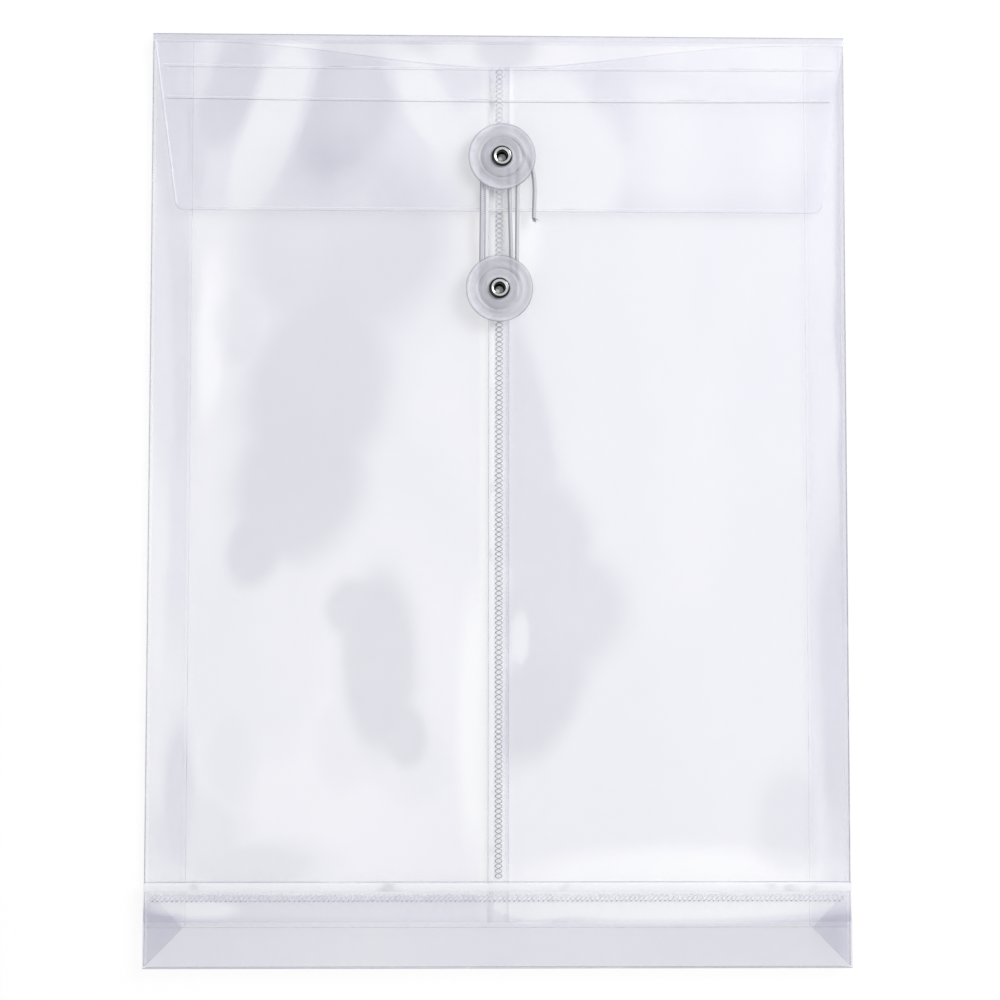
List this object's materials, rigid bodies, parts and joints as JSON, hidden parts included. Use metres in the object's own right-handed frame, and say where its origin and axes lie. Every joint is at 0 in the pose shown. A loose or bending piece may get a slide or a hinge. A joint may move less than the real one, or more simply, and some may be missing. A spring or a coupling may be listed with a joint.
{
  "type": "document envelope",
  "caption": "Clear film document envelope with side gussets, a stitched seam, a folded block bottom and a tapered flap tied by string round buttons.",
  "frame": {"origin": "middle of the back panel's outside face, under the middle of the envelope as it lies on its back", "axes": "+X across the width, +Y from the folded bottom to the flap's fold, +Z out of the face with the flap and the buttons"},
  "size_m": [0.247, 0.33, 0.009],
  "materials": {
    "film": "clear, slightly hazy",
    "frosted_plastic": "frosted, translucent",
    "eyelet_metal": "bright nickel plate",
    "thread": "twisted sewing thread",
    "string": "braided cord"
  },
  "bodies": {
    "back": {"back_panel": "film", "flap_crease": "film", "gusset_left_back": "film", "gusset_left_front": "film", "gusset_right_back": "film", "gusset_right_front": "film"},
    "front": {"front_panel_left": "film", "front_panel_right": "film", "seam_thread_lower": "thread", "seam_thread_upper": "thread", "lower_button_neck": "frosted_plastic", "lower_eyelet": "eyelet_metal"},
    "hem": {"front_hem": "film"},
    "bottom": {"bottom_panel": "film", "bottom_thread": "thread", "corner_tuck_left": "film", "corner_tuck_right": "film"},
    "flap": {"flap": "film", "upper_eyelet": "eyelet_metal", "upper_button_neck": "frosted_plastic", "string_winding": "string", "string_tail": "string"},
    "upper_disc": {"upper_button_disc": "frosted_plastic"},
    "lower_disc": {"lower_button_disc": "frosted_plastic"}
  },
  "joints": [
    {"name": "expand", "type": "slide", "parent": "back", "child": "front", "axis": [0, 0, 1], "range_m": [0, 0.027], "deforming": ["gusset_left_back", "gusset_left_front", "gusset_right_back", "gusset_right_front"]},
    {"name": "hem_turn", "type": "hinge", "parent": "front", "child": "hem", "pos_m": [0, -0.1504, 0.00255], "axis": [1, 0, 0], "range_deg": [0, 180]},
    {"name": "bottom_turn", "type": "hinge", "parent": "hem", "child": "bottom", "pos_m": [0, -0.1358, 0.00375], "axis": [1, 0, 0], "range_deg": [-90, 0]},
    {"name": "flap_open", "type": "hinge", "parent": "front", "child": "flap", "pos_m": [0, 0.16225, 0.00475], "axis": [-1, 0, 0], "range_deg": [0, 170], "deforming": ["flap_crease", "string_winding", "string_tail"]},
    {"name": "upper_button_turn", "type": "hinge", "parent": "flap", "child": "upper_disc", "pos_m": [0.0008, 0.1202, 0.007], "axis": [0, 0, 1], "continuous": true},
    {"name": "lower_button_turn", "type": "hinge", "parent": "front", "child": "lower_disc", "pos_m": [0, 0.0732, 0.006], "axis": [0, 0, 1], "continuous": true}
  ],
  "couplings": [
    {"joint": "hem_turn", "follows": "expand", "rad_per_m": 111.4},
    {"joint": "bottom_turn", "follows": "expand", "rad_per_m": -55.702}
  ]
}
